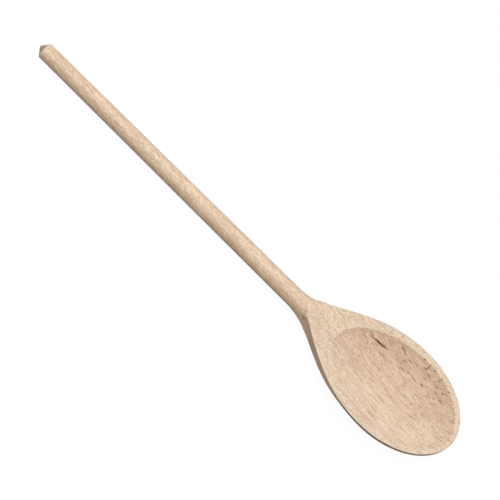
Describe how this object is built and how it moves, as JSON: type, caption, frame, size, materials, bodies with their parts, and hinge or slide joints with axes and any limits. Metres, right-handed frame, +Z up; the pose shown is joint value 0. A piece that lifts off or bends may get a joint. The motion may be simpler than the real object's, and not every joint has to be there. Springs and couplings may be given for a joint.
{
  "type": "wooden cooking spoon",
  "caption": "One-piece wooden cooking spoon with a round tapering handle, a flared neck and a broad flat-faced bowl scooped for stirring and tasting.",
  "frame": {"origin": "on the table, under the middle of the spoon's length and width, with the spoon lying hollow upwards", "axes": "+X from the end of the handle to the tip of the bowl, +Y across the bowl, +Z up out of the hollow"},
  "size_m": [0.3, 0.0598, 0.0143],
  "materials": {
    "beech": "bare sanded beech, matt, with short dark ray flecks along the grain"
  },
  "bodies": {
    "root": {"spoon": "beech"}
  },
  "joints": []
}
